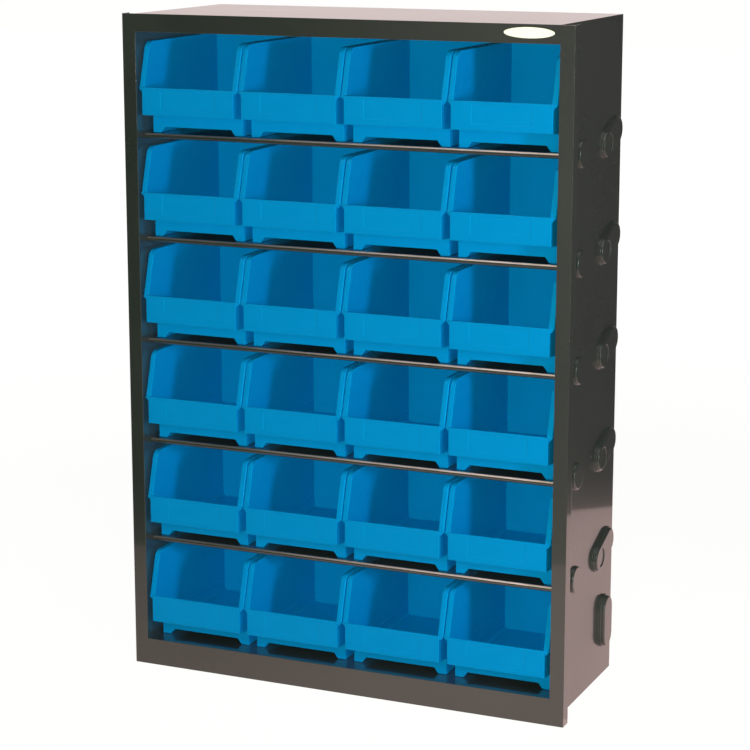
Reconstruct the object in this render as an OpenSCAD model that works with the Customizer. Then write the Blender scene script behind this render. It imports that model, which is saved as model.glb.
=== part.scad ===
// Open-front sheet steel parts cabinet with six rows of four sliding plastic bins.
// Millimetres. X is to the right, Y to the back, Z up. The origin is the centre of the footprint.

/* [Cabinet] */
// Height of the whole cabinet
cabinet_h = 950; // [940:1:960]
// Width over the front frame
cabinet_w = 665; // [662:1:680]
// Depth of the sheet metal, front face to back face
cabinet_d = 262; // [258:1:275]
// Sheet thickness
sheet_t = 1; // [0.8:0.1:1.2]
// How far each front stile stands out past the side sheet
stile_w = 20; // [18:0.5:21]
// Depth of the return lip behind each stile
return_d = 19; // [12:0.5:22]
// Height of the top rail's face
top_rail_h = 25; // [18:0.5:28]
// Height of the bottom rail's face, which is also the height of the bottom sheet
bottom_rail_h = 38.5; // [32:0.5:40]
// Depth of the small flanges folded inside the cabinet
flange_d = 12; // [8:0.5:12]

/* [Shelves] */
// Height of the lowest shelf's top face above the floor
first_shelf_z = 189.6; // [188:0.2:192]
// Height from one shelf to the next
shelf_pitch = 148; // [147:0.2:148.6]
// Diameter of the rolled front edge
bead_d = 7.5; // [6:0.1:8]
// Setback of the rolled edge's centre behind the front face
bead_setback = 26; // [25:0.5:27]

/* [Pressed bosses] */
// Radius of the round front boss
front_boss_r = 19; // [16:0.5:20]
// Height of the front boss outside the side sheet
front_boss_h = 4.5; // [3.5:0.1:5]
// Radius of the slanted rear boss's ends
rear_boss_r = 19.5; // [18:0.5:21]
// Height of the rear boss outside the side sheet
rear_boss_h = 7; // [6:0.1:8]
// Radius of the ends of the lowest, upright boss
foot_boss_r = 20; // [18:0.5:21]
// Height of the lowest boss outside the side sheet
foot_boss_h = 9; // [8:0.1:10]
// Edge radius of the bosses
boss_edge_r = 2.5; // [1.5:0.1:3]

/* [Bins] */
// Distance from one bin to the next
bin_pitch = 155; // [153.5:0.1:155.8]
// Width over the bin's rim
bin_rim_w = 153; // [151:0.1:153.4]
// Width of the bin's body under the rim
bin_body_w = 143; // [142.5:0.5:145]
// Width over the bin's feet
bin_foot_w = 142; // [138:0.5:142]
// Depth of the bin, front to rim at the back
bin_d = 231; // [225:0.5:233]
// Height of the bin
bin_h = 129; // [126:0.5:131]
// Height of the front lip
lip_h = 66; // [62:0.5:70]
// Height of the body's lower front edge above the feet
body_z = 27; // [24:0.5:30]
// Setback of the feet behind the front of the bin
foot_setback = 30; // [26:0.5:34]
// Wall thickness of the bin
wall_t = 2.5; // [2:0.1:3]
// Width of each foot rail
foot_w = 12.5; // [10:0.5:16]
// Height of the floor's underside above the feet
foot_h = 8; // [6:0.5:9]

/* [Hidden] */
$fn = 48;
rows = 6;
columns = 4;
shelf_count = rows - 1;
clearance = 0.3;
cut = 1;

bin_names = [for (row = [1:rows], column = [1:columns]) str("bin_r", row, "_c", column)];
shelf_names = [for (number = [1:shelf_count]) str("shelf_", number)];

// The badge in front and the rivet heads behind are equally proud, so the origin stays central.
badge_t = 0.8;
rivet_head_h = badge_t;
front_y = -cabinet_d / 2;
back_y = cabinet_d / 2;
side_x = cabinet_w / 2 - stile_w + sheet_t;
inner_x = side_x - sheet_t;
back_sheet_y = back_y - sheet_t;
// Height of the folds by which the top and bottom sheets are fixed inside the sides and the back
fold_h = 20;

paint = "#4b4643";
blue_plastic = "#0086c4";
bare_rivet = "#8d8f90";
badge_white = "#e9e7e4";

function shelf_z(number) = first_shelf_z + (shelf_count - number) * shelf_pitch;
function row_z(row) = row <= shelf_count ? shelf_z(row) : bottom_rail_h;
function bin_x(column) = (column - (columns + 1) / 2) * bin_pitch;

// Box from its lowest corner to its highest corner
module block(low, high) {
    translate(low) cube(high - low);
}

// A shape drawn in Y and Z, made solid along X
module extrude_x(length) {
    rotate([90, 0, 90]) linear_extrude(length) children();
}

// ---------------------------------------------------------------- pressed bosses

// Half section of a boss's end: a wider lower step, then the upper step with a rounded outer edge.
// x is the radius and y the height. A "step_h" of 0 leaves the lower step out.
module boss_half(radius, height, edge_r, step_h) {
    top_r = step_h > 0 ? radius - step_in : radius;
    if (step_h > 0) square([radius, step_h]);
    square([top_r, height - edge_r]);
    square([top_r - edge_r, height]);
    intersection() {
        translate([top_r - edge_r, height - edge_r]) circle(edge_r);
        square([radius, height]);
    }
}

// A pressed boss with round ends at "from" and "to", standing on the XY plane
module boss_form(from, to, radius, height, edge_r, step_h) {
    run = to - from;
    run_length = norm(run);
    if (run_length == 0)
        translate(from) rotate_extrude() boss_half(radius, height, edge_r, step_h);
    else
        translate(from) rotate(atan2(run.y, run.x)) {
            rotate(90) rotate_extrude(angle = 180) boss_half(radius, height, edge_r, step_h);
            translate([run_length, 0, 0]) rotate(-90)
                rotate_extrude(angle = 180) boss_half(radius, height, edge_r, step_h);
            rotate([90, 0, 90]) linear_extrude(run_length)
                for (side = [0, 1]) mirror([side, 0]) boss_half(radius, height, edge_r, step_h);
        }
}

// Turns a shape drawn on the XY plane so that it stands out of the right side sheet:
// its x becomes the depth behind the front face, its y the height
module on_right_side(x) {
    translate([x, front_y, 0]) rotate([90, 0, 90]) children();
}

// Depth behind the front face of the boss centres, and their heights from the shelf's top face
front_boss = [93, -8];
rear_boss_low = [189.5, -5];
rear_boss_high = [232.5, 11.5];
dimple = [193.5, -3.5];
// The lowest boss has its height from the floor
foot_boss_low = [225, 62.5];
foot_boss_high = [225, 101];
// The upper step of a boss is set in by "step_in", and the lower one takes "step_share" of its height
step_in = 1.8;
step_share = 0.42;
pocket_wall = 1.2;
dimple_r = 13.5;
dimple_d = 1.2;

// ---------------------------------------------------------------- rivet places

rivet_r = 3.2;
rivet_shank_r = 1.6;
rivet_hole_r = 1.75;
rivet_tail = 4;
// Distance of the rivets from the side sheets, and from the top and bottom sheets
rivet_edge_x = 7;
rivet_edge_z = 10;
// Height of the lowest rivet of a side's row above the floor
rivet_first_z = 60;
rivet_rows = 6;
rivet_columns = 5;
rivet_spacing = 120;

function rivet_side_z(index) = rivet_first_z + index * (cabinet_h - 2 * rivet_first_z) / (rivet_rows - 1);
function rivet_across_x(index) = (index - (rivet_columns - 1) / 2) * rivet_spacing;

// The children once at each rivet of one side, drawn on the back's outer face with Z going into the cabinet
module at_side_rivets(side) {
    for (index = [0:rivet_rows - 1])
        translate([side * (inner_x - rivet_edge_x), back_y, rivet_side_z(index)])
            rotate([90, 0, 0]) children();
}

// The same for a row across the back at that height
module at_cross_rivets(z) {
    for (index = [0:rivet_columns - 1])
        translate([rivet_across_x(index), back_y, z]) rotate([90, 0, 0]) children();
}

module rivet_hole() {
    translate([0, 0, -cut]) cylinder(h = 3 * sheet_t + cut, r = rivet_hole_r);
}

top_rivet_z = cabinet_h - rivet_edge_z;
bottom_rivet_z = bottom_rail_h - rivet_edge_z;

// ---------------------------------------------------------------- sheet steel body

module right_side_sheet() {
    block([inner_x, front_y, 0], [side_x, back_sheet_y, cabinet_h - sheet_t]);
    block([inner_x, front_y, 0], [cabinet_w / 2, front_y + sheet_t, cabinet_h]);
    block([cabinet_w / 2 - sheet_t, front_y, 0], [cabinet_w / 2, front_y + return_d, cabinet_h]);
    block([inner_x - flange_d, back_sheet_y - sheet_t, 0], [side_x, back_sheet_y, cabinet_h - sheet_t]);
}

// Every boss of the right side, standing on the XY plane. The plane lies "seat" below the sheet's outer face.
module bosses(seat) {
    for (number = [1:shelf_count]) translate([0, shelf_z(number)]) {
        boss_form(front_boss, front_boss, front_boss_r, front_boss_h + seat, boss_edge_r, 0);
        boss_form(rear_boss_low, rear_boss_high, rear_boss_r, rear_boss_h + seat, boss_edge_r,
                  rear_boss_h * step_share + seat);
    }
    boss_form(foot_boss_low, foot_boss_high, foot_boss_r, foot_boss_h + seat, boss_edge_r,
              foot_boss_h * step_share + seat);
}

// One hollow behind a boss, cut from inside the cabinet. The plane lies "cut" inside the sheet's inner face.
module pocket(from, to, radius, boss_h) {
    boss_form(from, to, radius - pocket_wall, cut + sheet_t + boss_h - pocket_wall, boss_edge_r, 0);
}

// The hollows behind every boss. The rear ones are shallower under the dimple.
module pockets() {
    dimple_floor = cut + sheet_t + rear_boss_h - pocket_wall - dimple_d;
    for (number = [1:shelf_count]) translate([0, shelf_z(number)]) {
        pocket(front_boss, front_boss, front_boss_r, front_boss_h);
        difference() {
            pocket(rear_boss_low, rear_boss_high, rear_boss_r - step_in, rear_boss_h);
            translate([dimple.x, dimple.y, dimple_floor])
                cylinder(h = rear_boss_h, r = dimple_r + pocket_wall);
        }
    }
    pocket(foot_boss_low, foot_boss_high, foot_boss_r - step_in, foot_boss_h);
}

module right_side() {
    seat = sheet_t / 2;
    difference() {
        union() {
            right_side_sheet();
            on_right_side(side_x - seat) bosses(seat);
        }
        on_right_side(inner_x - cut) pockets();
        on_right_side(side_x + rear_boss_h - dimple_d)
            for (number = [1:shelf_count]) translate([dimple.x, dimple.y + shelf_z(number)])
                cylinder(h = 2 * dimple_d, r = dimple_r);
        at_side_rivets(1) rivet_hole();
    }
}

module right_side_panel() {
    color(paint) right_side();
}

module left_side_panel() {
    color(paint) mirror([1, 0, 0]) right_side();
}

module top_panel() {
    fold_z = cabinet_h - fold_h;
    color(paint) difference() {
        union() {
            block([-side_x, front_y + sheet_t, cabinet_h - sheet_t], [side_x, back_sheet_y, cabinet_h]);
            block([-inner_x, front_y, cabinet_h - top_rail_h], [inner_x, front_y + sheet_t, cabinet_h]);
            block([-inner_x + sheet_t, front_y, cabinet_h - top_rail_h],
                  [inner_x - sheet_t, front_y + flange_d, cabinet_h - top_rail_h + sheet_t]);
            for (side = [0, 1]) mirror([side, 0, 0])
                block([inner_x - sheet_t, front_y + return_d, fold_z],
                      [inner_x, back_sheet_y - 2 * sheet_t, cabinet_h - sheet_t / 2]);
            block([-inner_x + flange_d + sheet_t, back_sheet_y - sheet_t, fold_z],
                  [inner_x - flange_d - sheet_t, back_sheet_y, cabinet_h - sheet_t / 2]);
        }
        at_cross_rivets(top_rivet_z) rivet_hole();
    }
}

module bottom_panel() {
    fold_z = bottom_rail_h - fold_h;
    color(paint) difference() {
        union() {
            block([-inner_x, front_y, bottom_rail_h - sheet_t],
                  [inner_x, back_sheet_y - sheet_t, bottom_rail_h]);
            block([-inner_x, front_y, 0], [inner_x, front_y + sheet_t, bottom_rail_h]);
            block([-inner_x + sheet_t, front_y, 0], [inner_x - sheet_t, front_y + flange_d, sheet_t]);
            for (side = [0, 1]) mirror([side, 0, 0])
                block([inner_x - sheet_t, front_y + return_d, fold_z],
                      [inner_x, back_sheet_y - 2 * sheet_t, bottom_rail_h - sheet_t / 2]);
            block([-inner_x + flange_d + sheet_t, back_sheet_y - sheet_t, fold_z],
                  [inner_x - flange_d - sheet_t, back_sheet_y, bottom_rail_h]);
        }
        at_cross_rivets(bottom_rivet_z) rivet_hole();
    }
}

module back_panel() {
    color(paint) difference() {
        block([-side_x, back_sheet_y, 0], [side_x, back_y, cabinet_h]);
        for (side = [-1, 1]) at_side_rivets(side) rivet_hole();
        for (z = [bottom_rivet_z, top_rivet_z]) at_cross_rivets(z) rivet_hole();
    }
}

// ---------------------------------------------------------------- shelves

// Round studs pressed out of each shelf's end fold, which sit in the side sheet's bosses
stud_r = 6.5;
stud_reach = 2.5;

module shelf(number) {
    z = shelf_z(number);
    bead_r = bead_d / 2;
    bead_y = front_y + bead_setback;
    rear_y = back_sheet_y - sheet_t;
    edge_z = z - bead_d;
    color(paint) difference() {
        union() {
            block([-inner_x, bead_y, z - sheet_t], [inner_x, rear_y, z]);
            translate([-inner_x, bead_y, z - bead_r]) rotate([0, 90, 0])
                cylinder(h = 2 * inner_x, r = bead_r);
            block([-inner_x, rear_y - sheet_t, edge_z], [inner_x, rear_y, z]);
            for (side = [0, 1]) mirror([side, 0, 0]) {
                block([inner_x - sheet_t, bead_y, edge_z], [inner_x, rear_y, z]);
                translate([0, 0, z]) on_right_side(inner_x - sheet_t)
                    for (stud = [front_boss, rear_boss_low])
                        translate(stud) cylinder(h = sheet_t + stud_reach, r = stud_r);
            }
        }
        translate([-inner_x - cut, bead_y, z - bead_r]) rotate([0, 90, 0])
            cylinder(h = 2 * (inner_x + cut), r = bead_r - sheet_t);
    }
}

// ---------------------------------------------------------------- badge and rivets

badge_w = 70;
badge_h = 14.4;
badge_x = 270;
// The badge sits a little above the middle of the top rail
badge_z = cabinet_h - top_rail_h / 2 + 1.4;

module name_badge() {
    color(badge_white) translate([badge_x, front_y, badge_z]) rotate([90, 0, 0])
        linear_extrude(badge_t)
            polygon([for (turn = [0:5:355]) [badge_w / 2 * cos(turn), badge_h / 2 * sin(turn)]]);
}

// One blind rivet through the back sheet, head outside
module rivet() {
    translate([0, 0, -rivet_head_h]) cylinder(h = rivet_head_h, r = rivet_r);
    cylinder(h = rivet_tail, r = rivet_shank_r);
}

module back_rivets() {
    color(bare_rivet) {
        for (side = [-1, 1]) at_side_rivets(side) rivet();
        for (z = [bottom_rivet_z, top_rivet_z]) at_cross_rivets(z) rivet();
    }
}

// ---------------------------------------------------------------- bins

// The side's sloping front edge runs from above the lip to the rounded top corner
slope_start = [2, lip_h - 2];
slope_end = [16, 112];
slope_angle = atan2(slope_end.x - slope_start.x, slope_end.y - slope_start.y);
corner_r = 14;
corner_z = bin_h - corner_r;
corner_y = slope_start.x + (corner_r + sin(slope_angle) * (corner_z - slope_start.y)) / cos(slope_angle);
slope_top = [corner_y - corner_r * cos(slope_angle), corner_z + corner_r * sin(slope_angle)];
rim_out = (bin_rim_w - bin_body_w) / 2;
rim_t = 2.5;
rim_skirt = 7;
// The skirt ends this far below the lip's top edge
rim_end = 4;
back_wall_y = bin_d - rim_out;
// Radius of the bead along the lip's top edge
lip_bead_r = wall_t / 2 + 0.5;
// Height of the underside where it meets the base's front wall
under_z = 24;
label_w = 80;
label_z = 38;
label_d = 0.9;
// Width of the slope on the inner side of a foot rail
foot_slope = foot_h - 2;

// Side of the bin seen from the right, above the body's lower edge, cut back by "inset"
module side_outline(inset) {
    polygon([
        [inset, body_z], [inset, slope_start.y],
        slope_start + [inset / cos(slope_angle), 0],
        slope_top + [inset * cos(slope_angle), -inset * sin(slope_angle)],
        [corner_y, corner_z], [corner_y, bin_h - inset],
        [bin_d - inset, bin_h - inset], [bin_d - inset, body_z]
    ]);
    translate([corner_y, corner_z]) circle(corner_r - inset);
}

// The rim's band along the sloping front edge, the top and the back, "width" wide
module rim_band(width) {
    difference() {
        side_outline(0);
        side_outline(width);
        translate([-cut, 0]) square([bin_d + 2 * cut, lip_h - rim_end]);
    }
}

module bin_side() {
    side = bin_body_w / 2;
    foot = bin_foot_w / 2;
    // wall
    translate([side - wall_t, 0, 0]) extrude_x(wall_t) intersection() {
        side_outline(0);
        square([back_wall_y, bin_h]);
    }
    // rim plate and its turned-down skirt
    translate([side - wall_t, 0, 0]) extrude_x(rim_out + wall_t) rim_band(rim_t);
    translate([bin_rim_w / 2 - rim_t, 0, 0]) extrude_x(rim_t) rim_band(rim_skirt);
    // stacking ledge between the body and the narrower base
    block([foot - wall_t, foot_setback, body_z - wall_t], [side, back_wall_y, body_z]);
    // base wall and foot rail
    block([foot - wall_t, foot_setback, foot_h], [foot, back_wall_y, body_z]);
    translate([0, back_wall_y, 0]) rotate([90, 0, 0]) linear_extrude(back_wall_y - foot_setback)
        polygon([[foot - foot_w, 0], [foot, 0], [foot, foot_h + wall_t],
                 [foot - foot_w - foot_slope, foot_h + wall_t], [foot - foot_w - foot_slope, foot_h]]);
}

// Front of the bin: lip, label recess, sloping underside and the base's front wall
module bin_front() {
    side = bin_body_w / 2;
    foot = bin_foot_w / 2;
    difference() {
        translate([-side, 0, 0]) extrude_x(bin_body_w) {
            polygon([[0, body_z], [foot_setback, under_z], [foot_setback + wall_t, under_z],
                     [foot_setback + wall_t, under_z + wall_t], [wall_t, body_z + wall_t + 1],
                     [wall_t, lip_h - lip_bead_r], [0, lip_h - lip_bead_r]]);
            translate([lip_bead_r, lip_h - lip_bead_r]) circle(lip_bead_r);
        }
        block([-label_w / 2, -cut, label_z], [label_w / 2, label_d, lip_h - 2 * lip_bead_r]);
    }
    block([-foot, foot_setback, foot_h], [foot, foot_setback + wall_t, under_z + wall_t]);
}

module bin_back() {
    side = bin_body_w / 2;
    foot = bin_foot_w / 2;
    block([-side, back_wall_y - wall_t, body_z - wall_t], [side, back_wall_y, bin_h]);
    block([-foot, back_wall_y - wall_t, foot_h], [foot, back_wall_y, body_z]);
    block([-bin_rim_w / 2, back_wall_y - wall_t, bin_h - rim_t], [bin_rim_w / 2, bin_d, bin_h]);
    block([-bin_rim_w / 2, bin_d - rim_t, bin_h - rim_skirt], [bin_rim_w / 2, bin_d, bin_h]);
}

module bin() {
    foot = bin_foot_w / 2;
    for (side = [0, 1]) mirror([side, 0, 0]) bin_side();
    bin_front();
    bin_back();
    block([-foot, foot_setback, foot_h], [foot, back_wall_y, foot_h + wall_t]);
}

bin_front_gap = 1;

module placed_bin(row, column) {
    color(blue_plastic) translate([bin_x(column), front_y + bin_front_gap, row_z(row) + clearance]) bin();
}

// ---------------------------------------------------------------- nodes

left_side_panel();
right_side_panel();
top_panel();
bottom_panel();
back_panel();
for (number = [1:shelf_count])
    shelf(number);
name_badge();
back_rivets();
for (row = [1:rows], column = [1:columns])
    placed_bin(row, column);
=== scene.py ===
"""Sheet steel parts cabinet with twenty-four plastic bins, in metres, in the frame of the CAD model.

X is to the right, Y to the back and Z up, with the origin at the centre of the footprint.
"""
import math

import bmesh
import bpy
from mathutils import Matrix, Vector


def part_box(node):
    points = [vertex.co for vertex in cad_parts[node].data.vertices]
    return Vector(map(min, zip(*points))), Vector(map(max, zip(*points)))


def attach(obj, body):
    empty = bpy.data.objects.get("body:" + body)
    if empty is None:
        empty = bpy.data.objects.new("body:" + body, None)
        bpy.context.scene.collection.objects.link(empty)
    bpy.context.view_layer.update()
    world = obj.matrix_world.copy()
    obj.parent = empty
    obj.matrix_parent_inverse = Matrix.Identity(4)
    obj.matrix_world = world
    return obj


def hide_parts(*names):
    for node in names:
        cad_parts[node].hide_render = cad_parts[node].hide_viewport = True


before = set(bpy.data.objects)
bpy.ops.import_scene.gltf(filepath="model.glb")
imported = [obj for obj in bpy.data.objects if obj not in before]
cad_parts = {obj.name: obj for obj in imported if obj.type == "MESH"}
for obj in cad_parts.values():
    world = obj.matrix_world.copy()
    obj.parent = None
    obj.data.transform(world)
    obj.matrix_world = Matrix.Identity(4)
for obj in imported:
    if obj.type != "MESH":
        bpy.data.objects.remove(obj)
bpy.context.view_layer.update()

MM = 0.001
ROWS, COLUMNS = 6, 4
BIN_NAMES = [f"bin_r{row}_c{column}" for row in range(1, ROWS + 1) for column in range(1, COLUMNS + 1)]
STEEL = ["left_side_panel", "right_side_panel", "top_panel", "bottom_panel", "back_panel"]
SHELVES = [f"shelf_{number}" for number in range(1, ROWS)]


# ---------------------------------------------------------------- measurements, in millimetres

# The bin's widths over the rim, the body and the base under it, and its depth, height and front lip
RIM_W, BODY_W, BASE_W = 153.6, 143.0, 142.0
BIN_D, BIN_H, LIP_H = 231.0, 129.0, 66.0
# The body's lower edge, how far the base stands back, and where the sloping underside meets it
BODY_Z, BASE_SETBACK, UNDER_Z = 27.0, 30.0, 24.0
WALL_T, FOOT_W, FOOT_H = 2.5, 12.5, 8.0
# The rim's thickness, the depth of its turned-down skirt, and how far it reaches down in the wall
RIM_T, RIM_SKIRT, RIM_LEG = 2.5, 7.0, 9.0
# The rounding of the rim's inner and outer edges, and the cut corners of its skirt
ROUND_IN, ROUND_OUT, SKIRT_CUT = 0.8, 1.6, 0.6
# How far a closed form inside another one stays from its faces
HIDDEN = 0.3
RIM_OUT = (RIM_W - BODY_W) / 2
BACK_WALL_Y = BIN_D - RIM_OUT
# The side's sloping front edge as (y, z) points, and the round corner above it
SLOPE_LOW, SLOPE_HIGH, CORNER_R = (2.0, LIP_H - 2), (16.0, 112.0), 14.0
LABEL_W, LABEL_LOW, LABEL_HIGH, LABEL_D = 84.0, 36.0, 62.5, 0.4
# The top rail's height, and how far the rails' filled joints lie from the middle
TOP_RAIL_H, JOINT_X = 25.0, 316.5
# Edges sharper than these angles are rounded, and are kept sharp in shading
ROUNDED_ANGLE, SHARP_ANGLE = math.radians(25), math.radians(35)


# ---------------------------------------------------------------- node material helpers

class Nodes:
    """A small helper that adds and links shader nodes of one material."""

    def __init__(self, name):
        self.material = bpy.data.materials.new(name)
        self.material.use_nodes = True
        self.tree = self.material.node_tree
        self.tree.nodes.clear()

    def add(self, kind, settings=None, **inputs):
        """A new node with these properties, and these inputs set or linked."""
        node = self.tree.nodes.new(kind)
        for key, value in (settings or {}).items():
            setattr(node, key, value)
        for key, value in inputs.items():
            self.put(node, key.replace("_", " "), value)
        return node

    def put(self, node, name, value):
        """Sets or links an input, by its name or, where names repeat, by its number."""
        socket = node.inputs[name] if not name.isdigit() else node.inputs[int(name)]
        if isinstance(value, bpy.types.NodeSocket):
            self.tree.links.new(value, socket)
        else:
            socket.default_value = value

    def math(self, operation, a, b=0.0):
        node = self.add("ShaderNodeMath", {"operation": operation})
        self.put(node, "0", a)
        self.put(node, "1", b)
        return node.outputs[0]

    def noise(self, vector, scale, detail, roughness=0.5):
        node = self.add("ShaderNodeTexNoise", Vector=vector, Scale=scale, Detail=detail, Roughness=roughness)
        return node.outputs["Fac"]

    def remap(self, value, low, high, to_low=0.0, to_high=1.0):
        node = self.add("ShaderNodeMapRange", Value=value)
        limits = {"From Min": low, "From Max": high, "To Min": to_low, "To Max": to_high}
        for name, number in limits.items():
            node.inputs[name].default_value = number
        return node.outputs["Result"]

    def mix(self, factor, a, b):
        node = self.add("ShaderNodeMix", {"data_type": "RGBA"})
        self.put(node, "0", factor)
        self.put(node, "6", a)
        self.put(node, "7", b)
        return node.outputs[2]

    def mix_vector(self, factor, a, b):
        node = self.add("ShaderNodeMix", {"data_type": "VECTOR"})
        self.put(node, "0", factor)
        self.put(node, "4", a)
        self.put(node, "5", b)
        return node.outputs[1]

    def bump(self, height, strength, distance, normal=None):
        node = self.add("ShaderNodeBump", Height=height, Strength=strength, Distance=distance)
        if normal is not None:
            self.put(node, "Normal", normal)
        return node.outputs["Normal"]

    def edges(self, radius):
        """0 on flat faces and 1 on sharp edges, and the normal rounded over that radius."""
        rounded = self.add("ShaderNodeBevel", {"samples": 6}, Radius=radius).outputs["Normal"]
        flat = self.add("ShaderNodeNewGeometry").outputs["Normal"]
        dot = self.add("ShaderNodeVectorMath", {"operation": "DOT_PRODUCT"})
        self.tree.links.new(rounded, dot.inputs[0])
        self.tree.links.new(flat, dot.inputs[1])
        away = self.math("SUBTRACT", 1.0, dot.outputs["Value"])
        return self.remap(away, 0.02, 0.4), rounded

    def finish(self, shader):
        out = self.add("ShaderNodeOutputMaterial")
        self.tree.links.new(shader.outputs[0], out.inputs["Surface"])
        return self.material


def rgb(r, g, b):
    """An opaque colour, in linear light."""
    return (r, g, b, 1.0)


# ---------------------------------------------------------------- materials

def filled_joint(n, place):
    """1 where the rails are welded flush to the stiles and filled, so that no edge shows, else 0."""
    spot = n.add("ShaderNodeSeparateXYZ", Vector=place).outputs
    rail_low, rail_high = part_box("bottom_panel")[1][2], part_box("top_panel")[1][2] - TOP_RAIL_H * MM
    above = n.math("GREATER_THAN", spot[2], rail_high + 0.5 * MM)
    below = n.math("LESS_THAN", spot[2], rail_low - 0.5 * MM)
    level = n.math("MAXIMUM", above, below)
    inner = n.math("LESS_THAN", n.math("ABSOLUTE", spot[0]), JOINT_X * MM)
    front = n.math("LESS_THAN", spot[1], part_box("top_panel")[0][1] + 1.5 * MM)
    return n.math("MULTIPLY", level, n.math("MULTIPLY", inner, front))


# The direction that the painted highlight on a rolled shelf edge faces: forward and up
HIGHLIGHT_SIDE = (0.0, -0.72, 0.69)


def painted_highlight_line(n, place):
    """1 on the upper front of a rolled shelf edge, where a highlight is painted, and less to the left."""
    normal = n.add("ShaderNodeNewGeometry").outputs["Normal"]
    facing = n.add("ShaderNodeVectorMath", {"operation": "DOT_PRODUCT"})
    n.tree.links.new(normal, facing.inputs[0])
    facing.inputs[1].default_value = HIGHLIGHT_SIDE
    spot = n.add("ShaderNodeSeparateXYZ", Vector=place).outputs
    patches = n.remap(n.noise(place, 30.0, 3.0), 0.3, 0.7, 0.75, 1.0)
    along = n.math("MULTIPLY", n.remap(spot[0], -0.16, 0.26, 0.10, 1.0), patches)
    return n.math("MULTIPLY", n.remap(facing.outputs["Value"], 0.91, 0.97), along)


def paint_material(name="steel_paint", with_painted_highlight=False):
    """Gloss stove paint on sheet steel: slight orange peel, slow waves and thinner paint on edges.

    Shelf paint has a painted highlight besides: a pale line along the upper front of rolled edges.
    """
    n = Nodes(name)
    place = n.add("ShaderNodeTexCoord").outputs["Object"]
    cloud = n.noise(place, 6.0, 4.0)
    speck = n.noise(place, 900.0, 2.0)
    peel = n.noise(place, 420.0, 2.0)
    wave = n.noise(place, 5.0, 1.0)
    edge, rounded = n.edges(1.2 * MM)
    joint = filled_joint(n, place)
    edge = n.math("MULTIPLY", edge, n.math("SUBTRACT", 1.0, joint))
    rounded = n.mix_vector(joint, rounded, n.add("ShaderNodeNewGeometry").outputs["Normal"])
    colour = n.mix(n.remap(cloud, 0.3, 0.7), rgb(0.016, 0.021, 0.021), rgb(0.021, 0.026, 0.027))
    colour = n.mix(n.math("MULTIPLY", n.remap(speck, 0.62, 0.75), 0.3), colour, rgb(0.045, 0.045, 0.04))
    colour = n.mix(n.math("MULTIPLY", edge, 0.35), colour, rgb(0.12, 0.105, 0.10))
    if with_painted_highlight:
        # Painted highlight: a pale pinkish line on the upper front of rolled shelf edges, brighter to the
        # right
        colour = n.mix(painted_highlight_line(n, place), colour, rgb(0.64, 0.47, 0.52))
    normal = n.bump(wave, 0.02, 4.0 * MM, rounded)
    normal = n.bump(peel, 0.06, 0.08 * MM, normal)
    shader = n.add("ShaderNodeBsdfPrincipled")
    n.put(shader, "Base Color", colour)
    n.put(shader, "Roughness", n.remap(cloud, 0.2, 0.8, 0.24, 0.34))
    n.put(shader, "Normal", normal)
    shader.inputs["IOR"].default_value = 1.5
    shader.inputs["Coat Weight"].default_value = 1.0
    shader.inputs["Coat Roughness"].default_value = 0.06
    n.put(shader, "Coat Normal", normal)
    return n.finish(shader)


def plastic_material():
    """Injection-moulded blue plastic: faint flow marks, fine grain and paler, scuffed edges."""
    n = Nodes("bin_plastic")
    place = n.add("ShaderNodeTexCoord").outputs["Object"]
    stretched = n.add("ShaderNodeMapping", Vector=place)
    stretched.inputs["Scale"].default_value = (1.0, 0.35, 1.6)
    flow = n.noise(stretched.outputs[0], 9.0, 3.0)
    grain = n.noise(place, 1500.0, 2.0)
    scuff = n.noise(place, 60.0, 5.0, 0.7)
    edge, rounded = n.edges(0.5 * MM)
    colour = n.mix(n.remap(flow, 0.3, 0.7), rgb(0.0004, 0.170, 0.495), rgb(0.0008, 0.186, 0.533))
    worn = n.math("MULTIPLY", edge, n.remap(scuff, 0.45, 0.7, 0.1, 0.5))
    colour = n.mix(worn, colour, rgb(0.02, 0.28, 0.60))
    normal = n.bump(grain, 0.08, 0.05 * MM, rounded)
    shader = n.add("ShaderNodeBsdfPrincipled")
    n.put(shader, "Base Color", colour)
    n.put(shader, "Roughness", n.remap(scuff, 0.3, 0.7, 0.28, 0.38))
    n.put(shader, "Normal", normal)
    shader.inputs["IOR"].default_value = 1.46
    shader.inputs["Specular Tint"].default_value = rgb(0.0, 0.62, 1.0)
    return n.finish(shader)


def badge_material():
    """White enamel, slightly uneven, and thinner on the edges."""
    n = Nodes("badge_enamel")
    place = n.add("ShaderNodeTexCoord").outputs["Object"]
    cloud = n.noise(place, 90.0, 3.0)
    edge, rounded = n.edges(0.3 * MM)
    colour = n.mix(cloud, rgb(0.80, 0.78, 0.77), rgb(0.86, 0.845, 0.84))
    colour = n.mix(n.math("MULTIPLY", edge, 0.6), colour, rgb(0.45, 0.43, 0.42))
    shader = n.add("ShaderNodeBsdfPrincipled")
    n.put(shader, "Base Color", colour)
    n.put(shader, "Roughness", n.remap(cloud, 0.2, 0.8, 0.12, 0.22))
    n.put(shader, "Normal", n.bump(cloud, 0.05, 0.05 * MM, rounded))
    return n.finish(shader)


def rivet_material():
    """Bare aluminium, unevenly dulled."""
    n = Nodes("rivet_aluminium")
    place = n.add("ShaderNodeTexCoord").outputs["Object"]
    cloud = n.noise(place, 700.0, 4.0)
    colour = n.mix(cloud, rgb(0.42, 0.43, 0.44), rgb(0.62, 0.63, 0.64))
    shader = n.add("ShaderNodeBsdfPrincipled")
    n.put(shader, "Base Color", colour)
    n.put(shader, "Roughness", n.remap(cloud, 0.2, 0.8, 0.28, 0.5))
    n.put(shader, "Normal", n.bump(cloud, 0.2, 0.04 * MM))
    shader.inputs["Metallic"].default_value = 1.0
    return n.finish(shader)


# ---------------------------------------------------------------- mesh helpers

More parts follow.
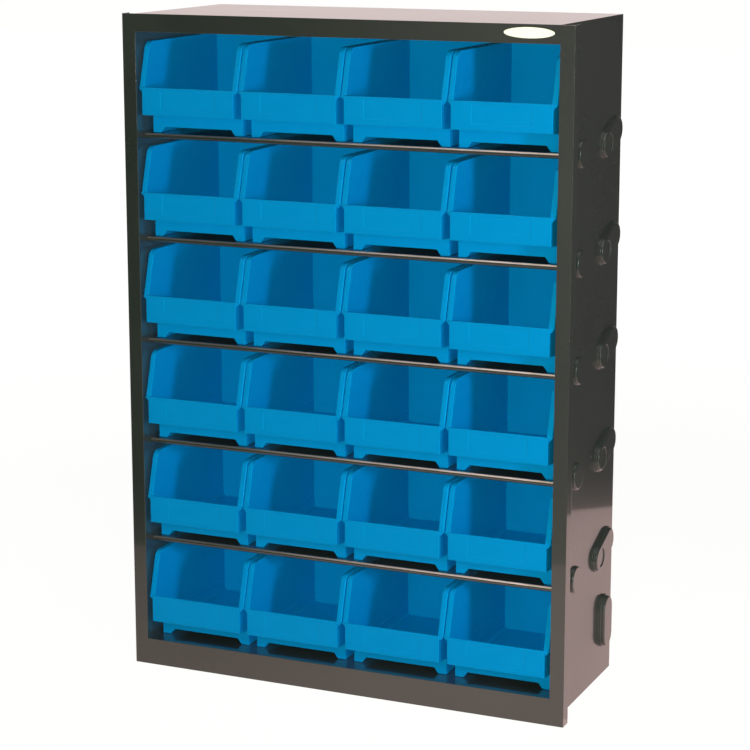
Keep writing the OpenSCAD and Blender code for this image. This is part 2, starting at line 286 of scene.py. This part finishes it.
def mesh_object(name, bm, material):
    """An object from a bmesh that is drawn in millimetres."""
    bmesh.ops.scale(bm, vec=(MM, MM, MM), verts=bm.verts)
    bmesh.ops.recalc_face_normals(bm, faces=bm.faces)
    mesh = bpy.data.meshes.new(name)
    bm.to_mesh(mesh)
    bm.free()
    mesh.materials.append(material)
    mesh.shade_smooth()
    mesh.set_sharp_from_angle(angle=SHARP_ANGLE)
    obj = bpy.data.objects.new(name, mesh)
    bpy.context.scene.collection.objects.link(obj)
    even_shading(obj)
    return obj


def even_shading(obj):
    """Large faces keep their own normal, so only the narrow rounded faces between them are shaded round."""
    modifier = obj.modifiers.new("even_shading", "WEIGHTED_NORMAL")
    modifier.keep_sharp = True
    modifier.weight = 50


def rounded(bm, verts, radius, segments):
    """Rounds the sharp edges of the separate form that these vertices make."""
    if radius <= 0:
        return
    # Each edge once, in an order that doesn't change from run to run
    edges = dict.fromkeys(e for v in verts for e in v.link_edges)
    sharp = [e for e in edges if len(e.link_faces) == 2 and e.calc_face_angle() > ROUNDED_ANGLE]
    bmesh.ops.bevel(bm, geom=sharp, offset=radius, offset_type="OFFSET", segments=segments,
                    profile=0.5, affect="EDGES", clamp_overlap=True)


def prism(bm, outline, axis, start, end, radius, segments=2):
    """A closed form with that outline in the other two axes, from start to end along the axis.

    axis "x" takes (y, z) points, "y" takes (x, z) and "z" takes (x, y).
    """
    def at(point, along):
        a, b = point
        return {"x": (along, a, b), "y": (a, along, b), "z": (a, b, along)}[axis]

    low = [bm.verts.new(at(p, start)) for p in outline]
    high = [bm.verts.new(at(p, end)) for p in outline]
    faces = [bm.faces.new(low), bm.faces.new(high)]
    count = len(outline)
    for i in range(count):
        j = (i + 1) % count
        faces.append(bm.faces.new((low[i], low[j], high[j], high[i])))
    bmesh.ops.recalc_face_normals(bm, faces=faces)
    rounded(bm, low + high, radius, segments)


def block(bm, low, high, radius):
    """A box from its lowest to its highest corner, with rounded edges."""
    (x0, y0, z0), (x1, y1, z1) = low, high
    prism(bm, [(x0, y0), (x1, y0), (x1, y1), (x0, y1)], "z", z0, z1, radius)


def join_rings(bm, rings):
    """A closed form through rings of the same number of vertices, with a face on each end."""
    count = len(rings[0])
    for a, b in zip(rings, rings[1:]):
        for i in range(count):
            j = (i + 1) % count
            bm.faces.new((a[i], a[j], b[j], b[i]))
    bm.faces.new(rings[0])
    bm.faces.new(list(reversed(rings[-1])))


def arc(centre, radius, start, end, steps):
    """Points on an arc, angles in degrees."""
    points = []
    for i in range(steps + 1):
        turn = math.radians(start + (end - start) * i / steps)
        points.append((centre[0] + radius * math.cos(turn), centre[1] + radius * math.sin(turn)))
    return points


# ---------------------------------------------------------------- one bin

def side_path(inset):
    """The side's edge in (y, z): from above the lip, up the slope, round the corner and along the top.

    Every inset gives the same number of points, so that rings of them can be joined.
    """
    slope_steps, corner_steps, top_steps = 5, 10, 4
    slope = math.atan2(SLOPE_HIGH[0] - SLOPE_LOW[0], SLOPE_HIGH[1] - SLOPE_LOW[1])
    corner_z = BIN_H - CORNER_R
    corner_y = SLOPE_LOW[0] + (CORNER_R + math.sin(slope) * (corner_z - SLOPE_LOW[1])) / math.cos(slope)
    corner = arc((corner_y, corner_z), CORNER_R - inset, 180 - math.degrees(slope), 90, corner_steps)
    first, last = corner[0], corner[-1]
    foot_z = SLOPE_LOW[1]
    foot_y = SLOPE_LOW[0] + inset / math.cos(slope)
    points = [(foot_y + (first[0] - foot_y) * i / slope_steps, foot_z + (first[1] - foot_z) * i / slope_steps)
              for i in range(slope_steps)]
    points += corner
    points += [(last[0] + (BIN_D - last[0]) * i / top_steps, last[1]) for i in range(1, top_steps + 1)]
    return points


def rim_section(side):
    """The rim's section as (x, inset) points, from the wall's inner face over the top to the skirt."""
    wall_in, wall_out, outer = BODY_W / 2 - WALL_T - HIDDEN, BODY_W / 2, RIM_W / 2
    skirt_in, fillet, steps = outer - RIM_T, 0.8, 4
    points = [(wall_in + 2 * HIDDEN, RIM_LEG), (wall_in, ROUND_IN)]
    points += [(wall_in + ROUND_IN - ROUND_IN * math.cos(math.radians(a)),
                ROUND_IN - ROUND_IN * math.sin(math.radians(a))) for a in (30, 60, 90)]
    points += [(outer - ROUND_OUT + ROUND_OUT * math.sin(math.radians(90 * i / steps)),
                ROUND_OUT - ROUND_OUT * math.cos(math.radians(90 * i / steps))) for i in range(steps + 1)]
    points += [(outer, RIM_SKIRT - SKIRT_CUT), (outer - SKIRT_CUT, RIM_SKIRT),
               (skirt_in + SKIRT_CUT, RIM_SKIRT), (skirt_in, RIM_SKIRT - SKIRT_CUT),
               (skirt_in, RIM_T + fillet), (skirt_in - fillet, RIM_T), (wall_out + fillet, RIM_T),
               (wall_out + HIDDEN, RIM_T + fillet), (wall_out - HIDDEN, RIM_LEG)]
    return [(side * x, inset) for x, inset in points]


def side_rim(bm, side):
    """The rim along the sloping front edge, the corner and the top of one wall."""
    section = rim_section(side)
    paths = [side_path(inset) for _, inset in section]
    rings = [[bm.verts.new((x, *point)) for (x, _), point in zip(section, points)] for points in zip(*paths)]
    join_rings(bm, rings)


def rim_foot(bm, side):
    """The slanted end by which the rim runs into the wall beside the lip."""
    inner, outer, low = BODY_W / 2 - 0.4, RIM_W / 2, SLOPE_LOW[1]
    end = low - (outer - inner) + 0.4
    outline = [(side * inner, low + 2), (side * outer, low + 2), (side * outer, low - 0.2),
               (side * (inner + 0.6), end), (side * inner, end)]
    prism(bm, outline, "y", SLOPE_LOW[0] + 0.1, SLOPE_LOW[0] + RIM_SKIRT, 0.5)


def bin_wall(bm, side):
    """One side wall below its rim, the ledge on its lower edge, the base's wall and the foot rail."""
    outer, base = BODY_W / 2, BASE_W / 2
    top = side_path(3.0)
    outline = [(0.4, BODY_Z), (0.4, SLOPE_LOW[1] - 1.0)] + top[:-1]
    outline += [(BACK_WALL_Y, top[-1][1]), (BACK_WALL_Y, BODY_Z)]
    prism(bm, outline, "x", side * (outer - WALL_T), side * outer, 0.0)
    x = sorted((side * (base - WALL_T), side * (outer - HIDDEN / 2)))
    block(bm, (x[0], BASE_SETBACK, BODY_Z - WALL_T), (x[1], BACK_WALL_Y, BODY_Z + 0.3), 0.7)
    x = sorted((side * (base - WALL_T), side * base))
    block(bm, (x[0], BASE_SETBACK + 0.2, FOOT_H), (x[1], BACK_WALL_Y - 0.2, BODY_Z), 0.4)
    rail_top, rail_in = FOOT_H + WALL_T - HIDDEN, base - FOOT_W - FOOT_H + 2
    rail = [(side * (base - FOOT_W), 0), (side * base, 0), (side * base, rail_top),
            (side * rail_in, rail_top), (side * rail_in, FOOT_H)]
    prism(bm, rail, "y", BASE_SETBACK + HIDDEN, BACK_WALL_Y, 0.8)


def bin_front(bm):
    """The lip with its rolled edge and label recess, the sloping underside and the base's front wall."""
    half, base, bead = BODY_W / 2, BASE_W / 2, 1.75
    core = [(LABEL_D, BODY_Z + 1), (LABEL_D, LIP_H - 3), (WALL_T, LIP_H - 3), (WALL_T, BODY_Z + 3)]
    prism(bm, core, "x", -half + 1, half - 1, 0.0)
    bead_outline = arc((bead, LIP_H - bead), bead, 200, -20, 12)
    bead_low = LIP_H - 2 * bead - 1
    bead_outline += [(WALL_T + 0.3, bead_low), (LABEL_D - 0.3, bead_low)]
    prism(bm, bead_outline, "x", -half + 0.1, half - 0.1, 0.0)
    w, low, high = LABEL_W / 2, LABEL_LOW, LABEL_HIGH
    frame_outline = [(-half, BODY_Z), (half, BODY_Z), (half, high), (w, high), (w, low), (-w, low),
                     (-w, high), (-half, high)]
    prism(bm, frame_outline, "y", 0.0, WALL_T, 0.7, 3)
    under = [(0.3, BODY_Z + 0.2), (BASE_SETBACK, UNDER_Z), (BASE_SETBACK + WALL_T, UNDER_Z),
             (BASE_SETBACK + WALL_T, UNDER_Z + WALL_T), (WALL_T, BODY_Z + WALL_T + 1)]
    prism(bm, under, "x", -half + 0.2, half - 0.2, 0.5)
    foot_in = base - FOOT_W
    outline = [(-base, 0), (-foot_in, 0), (-foot_in + FOOT_H - 2, FOOT_H), (foot_in - FOOT_H + 2, FOOT_H),
               (foot_in, 0), (base, 0), (base, UNDER_Z + 1), (-base, UNDER_Z + 1)]
    prism(bm, outline, "y", BASE_SETBACK, BASE_SETBACK + WALL_T, 0.7)


def bin_back(bm):
    """The back wall, the base's back wall and the rim along the top of it."""
    half, base = BODY_W / 2, BASE_W / 2
    inner = BACK_WALL_Y - WALL_T
    block(bm, (-half + 0.1, inner, BODY_Z - WALL_T), (half - 0.1, BACK_WALL_Y, BIN_H - 1), 0.6)
    block(bm, (-base + 0.1, inner + 0.1, FOOT_H), (base - 0.1, BACK_WALL_Y - 0.1, BODY_Z), 0.4)
    section = [(inner, BIN_H - ROUND_IN), (inner + ROUND_IN, BIN_H), (BIN_D - ROUND_OUT, BIN_H)]
    section += arc((BIN_D - ROUND_OUT, BIN_H - ROUND_OUT), ROUND_OUT, 67.5, 0, 3)
    skirt_end, skirt_in = BIN_H - RIM_SKIRT, BIN_D - RIM_T
    section += [(BIN_D, skirt_end + SKIRT_CUT), (BIN_D - SKIRT_CUT, skirt_end),
                (skirt_in + SKIRT_CUT, skirt_end), (skirt_in, skirt_end + SKIRT_CUT),
                (skirt_in, BIN_H - RIM_T), (inner, BIN_H - RIM_T)]
    prism(bm, section, "x", -RIM_W / 2 + 0.3, RIM_W / 2 - 0.3, 0.0)


def bin_inside(bm):
    """The floor and the fillets where it meets the walls."""
    base, floor = BASE_W / 2, FOOT_H + WALL_T
    block(bm, (-base + 0.3, BASE_SETBACK + 0.3, FOOT_H), (base - 0.3, BACK_WALL_Y - 0.3, floor), 0.4)
    reach = 4.0
    for side in (-1, 1):
        x = side * (base - WALL_T)
        turns = [math.radians(a) for a in (0, 22.5, 45, 67.5, 90)]
        curve = [(x - side * reach * (1 - math.sin(turn)), floor + reach * (1 - math.cos(turn)))
                 for turn in turns]
        curve += [(x + side, floor + reach), (x + side, floor - 1), (x - side * reach, floor - 1)]
        prism(bm, curve, "y", BASE_SETBACK + 1, BACK_WALL_Y - 1, 0.0)


def bin_mesh_object(name, material):
    """One bin, with its front at y = 0, its feet at z = 0 and x = 0 in the middle."""
    bm = bmesh.new()
    for side in (-1, 1):
        side_rim(bm, side)
        rim_foot(bm, side)
        bin_wall(bm, side)
    bin_front(bm)
    bin_back(bm)
    bin_inside(bm)
    return mesh_object(name, bm, material)


def make_bins(material):
    """Every bin shares the first one's mesh."""
    first = bin_mesh_object("moulded_" + BIN_NAMES[0], material)
    for name in BIN_NAMES:
        if name == BIN_NAMES[0]:
            piece = first
        else:
            piece = bpy.data.objects.new("moulded_" + name, first.data)
            bpy.context.scene.collection.objects.link(piece)
            even_shading(piece)
        low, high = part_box(name)
        piece.location = ((low[0] + high[0]) / 2, low[1], low[2])
        bpy.context.view_layer.update()
        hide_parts(name)
        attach(piece, name)


# ---------------------------------------------------------------- badge

def make_badge(material):
    """A blank oval badge: a raised rim, a fine groove inside it and a slightly domed face."""
    low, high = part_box("name_badge")
    half_w, half_h = (high[0] - low[0]) / 2 / MM, (high[2] - low[2]) / 2 / MM
    thick = (high[1] - low[1]) / MM
    # Inset from the outline in millimetres, and height from the rail as a share of the thickness
    section = [(0.0, 0.0), (0.0, 0.55), (0.15, 0.85), (0.4, 1.0), (0.8, 1.0), (1.0, 0.8), (1.2, 0.72),
               (1.5, 0.78), (3.0, 0.88), (5.0, 0.96)]
    steps = 120
    turns = [2 * math.pi * i / steps for i in range(steps)]
    bm = bmesh.new()
    join_rings(bm, [[bm.verts.new(((half_w - inset) * math.cos(turn), -thick * height,
                                   (half_h - inset) * math.sin(turn))) for turn in turns]
                    for inset, height in section])
    badge = mesh_object("enamel_badge", bm, material)
    badge.location = ((low[0] + high[0]) / 2, high[1], (low[2] + high[2]) / 2)
    bpy.context.view_layer.update()
    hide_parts("name_badge")
    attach(badge, "cabinet")


# ---------------------------------------------------------------- stage

FLOOR_WHITE = rgb(1.0, 1.0, 0.99)
FLOOR_REACH = 12000.0
WORLD_LEVEL = 0.05


def floor_material():
    """Pale floor: it looks white, keeps a soft shadow near the cabinet and shows warmer in gloss.

    It throws less light back than it shows, so that the cabinet isn't lit from below.
    """
    n = Nodes("floor_pale")
    place = n.add("ShaderNodeTexCoord").outputs["Object"]
    cloud = n.noise(place, 3.0, 2.0)
    pale = n.mix(cloud, rgb(0.93, 0.925, 0.92), rgb(0.96, 0.955, 0.95))
    matt = n.add("ShaderNodeBsdfDiffuse", Color=pale)
    dimmer = n.mix(cloud, rgb(0.50, 0.50, 0.44), rgb(0.54, 0.54, 0.47))
    bounce = n.add("ShaderNodeBsdfDiffuse", Color=dimmer)
    white = n.add("ShaderNodeEmission", Color=FLOOR_WHITE, Strength=1.07)
    x, y, _ = n.add("ShaderNodeSeparateXYZ", Vector=place).outputs
    distance = n.add("ShaderNodeVectorMath", {"operation": "LENGTH"})
    n.tree.links.new(place, distance.inputs[0])
    share = n.remap(distance.outputs["Value"], 1.2, 3.5, 0.88, 1.0)
    seen = n.add("ShaderNodeMixShader")
    n.put(seen, "0", share)
    n.tree.links.new(matt.outputs[0], seen.inputs[1])
    n.tree.links.new(white.outputs[0], seen.inputs[2])
    # In gloss the floor glows warm, and in front of the cabinet brighter to the right: a painted reflection,
    # not light from the lamps
    in_front = n.remap(x, -0.62, 0.10, 0.66, 1.12)
    strength = n.add("ShaderNodeMix", {"data_type": "FLOAT"})
    n.put(strength, "0", n.math("GREATER_THAN", y, -0.10))
    n.put(strength, "2", in_front)
    n.put(strength, "3", 0.8)
    warm = n.add("ShaderNodeEmission", Color=rgb(1.0, 0.72, 0.68), Strength=strength.outputs[0])
    kind = n.add("ShaderNodeLightPath").outputs
    by_gloss = n.add("ShaderNodeMixShader")
    n.put(by_gloss, "0", kind["Is Glossy Ray"])
    n.tree.links.new(bounce.outputs[0], by_gloss.inputs[1])
    n.tree.links.new(warm.outputs[0], by_gloss.inputs[2])
    by_eye = n.add("ShaderNodeMixShader")
    n.put(by_eye, "0", n.math("MAXIMUM", kind["Is Camera Ray"], kind["Is Transmission Ray"]))
    n.tree.links.new(by_gloss.outputs[0], by_eye.inputs[1])
    n.tree.links.new(seen.outputs[0], by_eye.inputs[2])
    return n.finish(by_eye)


def card_material(name, left, right, start, end):
    """A glowing card that has the colour left at x = start and right at x = end, in metres."""
    n = Nodes(name)
    place = n.add("ShaderNodeTexCoord").outputs["Object"]
    x = n.add("ShaderNodeSeparateXYZ", Vector=place).outputs[0]
    glow = n.add("ShaderNodeEmission", Color=n.mix(n.remap(x, start, end), left, right), Strength=1.0)
    return n.finish(glow)


def make_card(name, corners, material):
    """A flat card with these corners, seen only in gloss, as a studio wall is."""
    bm = bmesh.new()
    bm.faces.new([bm.verts.new(corner) for corner in corners])
    card = mesh_object(name, bm, material)
    for sight in ("camera", "diffuse", "transmission", "volume_scatter", "shadow"):
        setattr(card, "visible_" + sight, False)


def make_upright_card(name, start, end, height, material):
    """A card that stands on the floor from start to end."""
    make_card(name, [(*start, 0.0), (*end, 0.0), (*end, height), (*start, height)], material)


def make_stage():
    """The floor, and the cards that give the paint its dark and light zones, placed in millimetres."""
    bm = bmesh.new()
    bmesh.ops.create_grid(bm, x_segments=1, y_segments=1, size=FLOOR_REACH)
    floor = mesh_object("floor", bm, floor_material())
    front = card_material("card_front", rgb(0.0, 0.0, 0.0), rgb(0.34, 0.255, 0.26), -0.42, 0.10)
    make_upright_card("front_card", (-1299.0, -476.0), (564.0, -962.0), 1600.0, front)
    make_overhead_card()
    dark = card_material("card_side", rgb(0.06, 0.055, 0.05), rgb(0.09, 0.08, 0.075), 0.4, 0.8)
    make_upright_card("side_card", (960.0, 591.0), (193.0, 1315.0), 2400.0, dark)
    make_upright_card("right_card", (564.0, -962.0), (1100.0, -500.0), 2400.0, dark)
    make_upright_card("far_right_card", (1100.0, -500.0), (960.0, 591.0), 2400.0, dark)
    rose = card_material("card_back", rgb(0.78, 0.66, 0.645), rgb(0.82, 0.70, 0.68), -2.0, 1.0)
    make_upright_card("back_card", (-4500.0, 1600.0), (900.0, 3600.0), 2600.0, rose)


def make_overhead_card():
    """A level card above the front, brightest over the right, mirrored in the top edges."""
    glow = card_material("card_overhead", rgb(0.9, 0.66, 0.6), rgb(6.5, 4.6, 4.1), -1.75, -0.35)
    left, right, near, far, level = -2600.0, 600.0, -3000.0, -700.0, 2250.0
    corners = [(left, near, level), (right, near, level), (right, far, level), (left, far, level)]
    make_card("overhead_card", corners, glow)


def make_world():
    """White where it is seen, also in gloss or through clear things, and else a weak light."""
    world = bpy.data.worlds.new("studio")
    world.use_nodes = True
    bpy.context.scene.world = world
    tree = world.node_tree
    tree.nodes.clear()
    kind = tree.nodes.new("ShaderNodeLightPath").outputs
    seen = larger(tree, kind["Is Camera Ray"], kind["Is Transmission Ray"])
    seen = larger(tree, seen, kind["Is Glossy Ray"])
    white = background(tree, FLOOR_WHITE, 1.0)
    light = background(tree, rgb(0.95, 1.0, 0.62), WORLD_LEVEL)
    mix = tree.nodes.new("ShaderNodeMixShader")
    tree.links.new(seen, mix.inputs["Fac"])
    tree.links.new(light, mix.inputs[1])
    tree.links.new(white, mix.inputs[2])
    out = tree.nodes.new("ShaderNodeOutputWorld")
    tree.links.new(mix.outputs[0], out.inputs["Surface"])


def larger(tree, a, b):
    """The larger of two node outputs."""
    node = tree.nodes.new("ShaderNodeMath")
    node.operation = "MAXIMUM"
    tree.links.new(a, node.inputs[0])
    tree.links.new(b, node.inputs[1])
    return node.outputs[0]


def background(tree, colour, strength):
    """The output of a world's background node."""
    node = tree.nodes.new("ShaderNodeBackground")
    node.inputs["Color"].default_value = colour
    node.inputs["Strength"].default_value = strength
    return node.outputs[0]


def soft_light(name, place, target, size, level, colour):
    """A rectangular lamp. A surface at the target that faces it renders its own colour times the level."""
    distance = (Vector(target) - Vector(place)).length
    data = bpy.data.lights.new(name, "AREA")
    data.shape = "RECTANGLE"
    data.size, data.size_y = size
    data.energy = level * (math.pi * distance) ** 2
    data.color = colour
    obj = bpy.data.objects.new(name, data)
    obj.location = place
    obj.rotation_euler = (Vector(target) - Vector(place)).to_track_quat("-Z", "Y").to_euler()
    bpy.context.scene.collection.objects.link(obj)
    return obj


def make_lights():
    """A weak upright lamp in front, and a stronger small one at the right that reaches into the bins.

    Two wide lamps without shadows or gloss stand for the light that a bright room throws into the bins.
    """
    middle, front = (0.0, 0.0, 0.5), (0.0, -0.1, 0.5)
    key = soft_light("key_light", (-0.16, -2.72, 0.70), front, (0.30, 1.50), 0.10, (0.97, 0.98, 1.0))
    soft_light("side_light", (2.60, -1.33, 0.85), (0.0, -0.13, 0.5), (0.35, 0.45), 0.56, (0.96, 0.97, 1.0))
    room = soft_light("room_light", (1.60, -2.70, 1.10), middle, (2.0, 2.0), 1.05, (0.92, 1.0, 0.62))
    left = soft_light("left_light", (-3.00, -0.55, 1.00), middle, (1.5, 1.5), 0.55, (0.95, 1.0, 0.75))
    for lamp in (room, left):
        lamp.data.use_shadow = False
    for lamp in (key, room, left):
        lamp.visible_glossy = False


# The photograph's viewpoint, fitted to the cabinet's corners in an image 750 pixels wide
CAMERA_PLACE, CAMERA_YAW, CAMERA_PITCH, CAMERA_SHIFT = (1.266, -2.895, 1.133), 23.7, 11.67, -0.04
FOCAL_PIXELS, IMAGE_PIXELS, SENSOR_W = 2256.0, 750.0, 36.0


def make_camera():
    """To the right of the cabinet and a little above its top, looking down."""
    data = bpy.data.cameras.new("camera")
    data.sensor_width = SENSOR_W
    data.lens = FOCAL_PIXELS / IMAGE_PIXELS * SENSOR_W
    data.shift_y = CAMERA_SHIFT
    cam = bpy.data.objects.new("camera", data)
    cam.location = CAMERA_PLACE
    cam.rotation_euler = (math.pi / 2 - math.radians(CAMERA_PITCH), 0.0, math.radians(CAMERA_YAW))
    bpy.context.scene.collection.objects.link(cam)
    bpy.context.scene.camera = cam


# ---------------------------------------------------------------- build

paint = paint_material()
# The shelves' paint has a painted highlight along their rolled front edges
shelf_paint = paint_material("shelf_paint", with_painted_highlight=True)
plastic = plastic_material()
badge = badge_material()
rivets = rivet_material()


def dress(node, material):
    """Gives a CAD node's mesh this material alone."""
    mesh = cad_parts[node].data
    mesh.materials.clear()
    mesh.materials.append(material)


for node in STEEL:
    dress(node, paint)
for node in SHELVES:
    dress(node, shelf_paint)
make_badge(badge)
dress("back_rivets", rivets)
make_bins(plastic)

make_stage()
make_world()
make_lights()
make_camera()

bpy.context.scene.view_settings.view_transform = "Standard"
